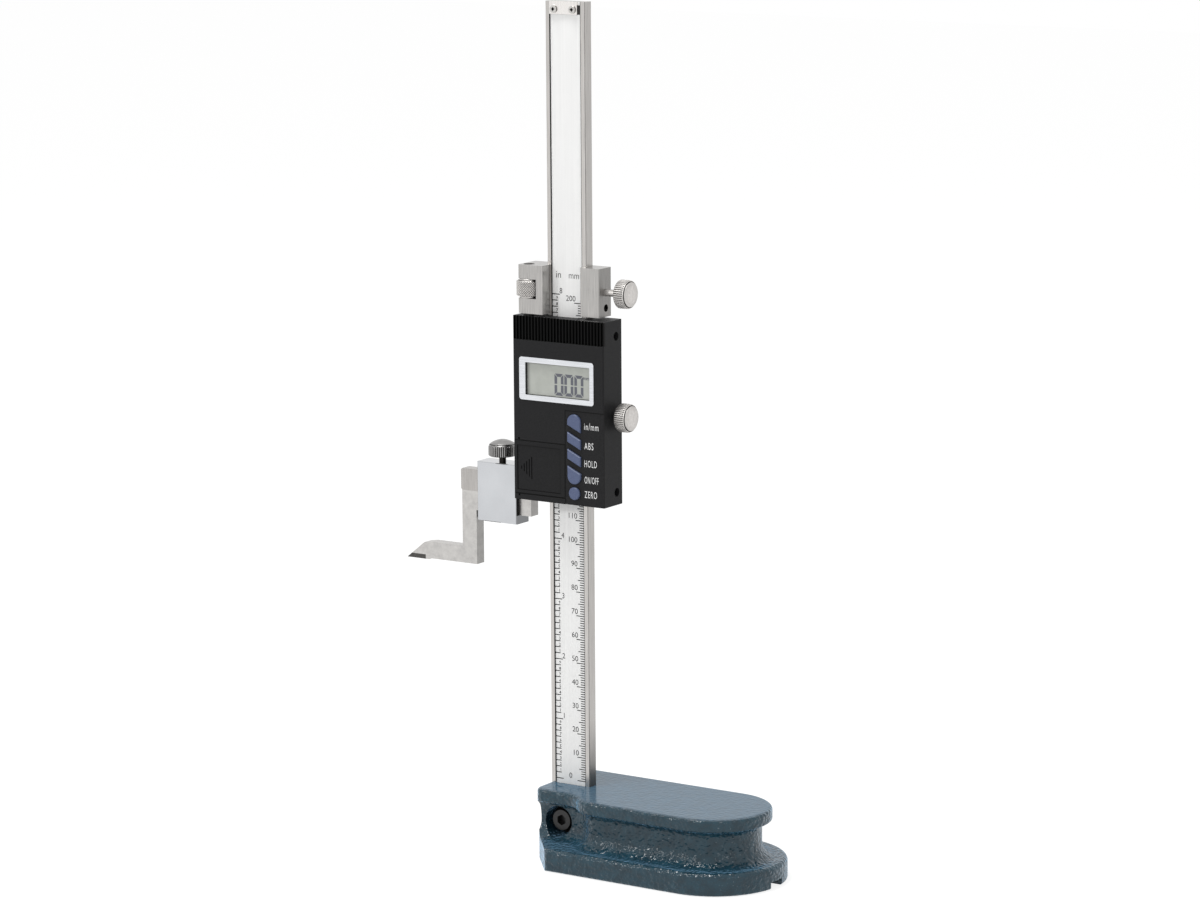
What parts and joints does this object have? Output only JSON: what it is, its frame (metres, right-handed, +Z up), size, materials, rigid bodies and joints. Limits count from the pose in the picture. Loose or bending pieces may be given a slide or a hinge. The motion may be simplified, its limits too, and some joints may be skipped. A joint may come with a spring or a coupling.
{
  "type": "digital height gauge",
  "caption": "Digital height gauge: waisted cast base, ground beam with inlaid scale, display slider, fine adjusting carriage and cranked scriber in a clamp box.",
  "frame": {"origin": "on the ground face of the base, under the middle of the beam", "axes": "+Z up along the beam, +X from the beam to the base's round end, -Y towards the reader of the display"},
  "size_m": [0.1797, 0.06, 0.3542],
  "materials": {
    "hammered_paint": "glossy hammered enamel on cast iron",
    "ground_steel": "ground stainless steel",
    "scale_print": "satin strip with printed graduations",
    "grid_laminate": "laminate",
    "black_screw": "black oxide",
    "black_plastic": "fine moulded texture",
    "button_plastic": "satin",
    "bezel_silver": "silver satin",
    "display_glass": "liquid crystal panel",
    "silicone": "matt",
    "board_laminate": "solder mask",
    "cell_steel": "nickel plated",
    "brass": "machined",
    "knob_steel": "turned and knurled",
    "bright_chrome": "polished plating",
    "carbide": "ground carbide"
  },
  "bodies": {
    "base": {"base_casting": "hammered_paint", "base_clamp_screw": "black_screw", "beam": "ground_steel", "grid_strip": "grid_laminate", "scale_strip": "scale_print", "stop_plate": "ground_steel", "stop_screw_left": "knob_steel", "stop_screw_right": "knob_steel"},
    "slider": {"slider_frame": "ground_steel", "gib": "brass", "gib_screw_lower": "black_screw", "gib_screw_upper": "black_screw", "frame_screw_1": "black_screw", "frame_screw_2": "black_screw", "frame_screw_3": "black_screw", "frame_screw_4": "black_screw", "housing": "black_plastic", "keypad_mat": "silicone", "battery": "cell_steel", "battery_contact": "brass", "display_bezel": "bezel_silver", "display_panel": "display_glass", "circuit_board": "board_laminate", "adjust_rod": "black_screw"},
    "battery_cover": {"battery_cover": "black_plastic"},
    "button_unit": {"button_unit": "button_plastic"},
    "button_abs": {"button_abs": "button_plastic"},
    "button_hold": {"button_hold": "button_plastic"},
    "button_power": {"button_power": "button_plastic"},
    "button_zero": {"button_zero": "button_plastic"},
    "slider_lock": {"slider_lock_screw": "knob_steel"},
    "carriage": {"carriage": "ground_steel", "carriage_pad": "brass", "carriage_grub_screw": "black_screw"},
    "carriage_lock": {"carriage_lock_screw": "knob_steel"},
    "adjust_nut": {"adjust_nut": "knob_steel"},
    "scriber": {"scriber": "ground_steel", "scriber_tip": "carbide"},
    "clamp_box": {"clamp_box": "bright_chrome"},
    "clamp_screw": {"clamp_screw": "bright_chrome"}
  },
  "joints": [
    {"name": "slider_travel", "type": "slide", "parent": "base", "child": "slider", "axis": [0, 0, 1], "range_m": [-0.1179, 0.082]},
    {"name": "carriage_travel", "type": "slide", "parent": "slider", "child": "carriage", "axis": [0, 0, 1], "range_m": [-0.0008, 0.005]},
    {"name": "adjust_nut_turn", "type": "hinge", "parent": "carriage", "child": "adjust_nut", "pos_m": [-0.0165, -0.0055, 0.24], "axis": [0, 0, 1], "range_deg": [-412.4, 2572.4]},
    {"name": "carriage_lock_turn", "type": "hinge", "parent": "carriage", "child": "carriage_lock", "pos_m": [0.0242, 0, 0.237], "axis": [1, 0, 0], "range_deg": [0, 540]},
    {"name": "slider_lock_turn", "type": "hinge", "parent": "slider", "child": "slider_lock", "pos_m": [0.0242, 0, 0.1863], "axis": [1, 0, 0], "range_deg": [0, 540]},
    {"name": "clamp_box_shift", "type": "slide", "parent": "slider", "child": "clamp_box", "axis": [1, 0, 0], "range_m": [-0.0008, 0.0015]},
    {"name": "clamp_screw_turn", "type": "hinge", "parent": "clamp_box", "child": "clamp_screw", "pos_m": [-0.0338, -0.0008, 0.1653], "axis": [0, 0, 1], "range_deg": [0, 540]},
    {"name": "scriber_shift", "type": "slide", "parent": "slider", "child": "scriber", "axis": [1, 0, 0], "range_m": [-0.02, 0.0008]},
    {"name": "battery_cover_slide", "type": "slide", "parent": "slider", "child": "battery_cover", "axis": [-1, 0, 0], "range_m": [0, 0.026]},
    {"name": "press_unit", "type": "slide", "parent": "slider", "child": "button_unit", "axis": [0, 1, 0], "range_m": [0, 0.0005], "stiffness_N_per_m": 1500},
    {"name": "press_abs", "type": "slide", "parent": "slider", "child": "button_abs", "axis": [0, 1, 0], "range_m": [0, 0.0005], "stiffness_N_per_m": 1500},
    {"name": "press_hold", "type": "slide", "parent": "slider", "child": "button_hold", "axis": [0, 1, 0], "range_m": [0, 0.0005], "stiffness_N_per_m": 1500},
    {"name": "press_power", "type": "slide", "parent": "slider", "child": "button_power", "axis": [0, 1, 0], "range_m": [0, 0.0005], "stiffness_N_per_m": 1500},
    {"name": "press_zero", "type": "slide", "parent": "slider", "child": "button_zero", "axis": [0, 1, 0], "range_m": [0, 0.0005], "stiffness_N_per_m": 1500}
  ],
  "couplings": [
    {"joint": "adjust_nut_turn", "follows": "carriage_travel", "rad_per_m": 8976}
  ]
}
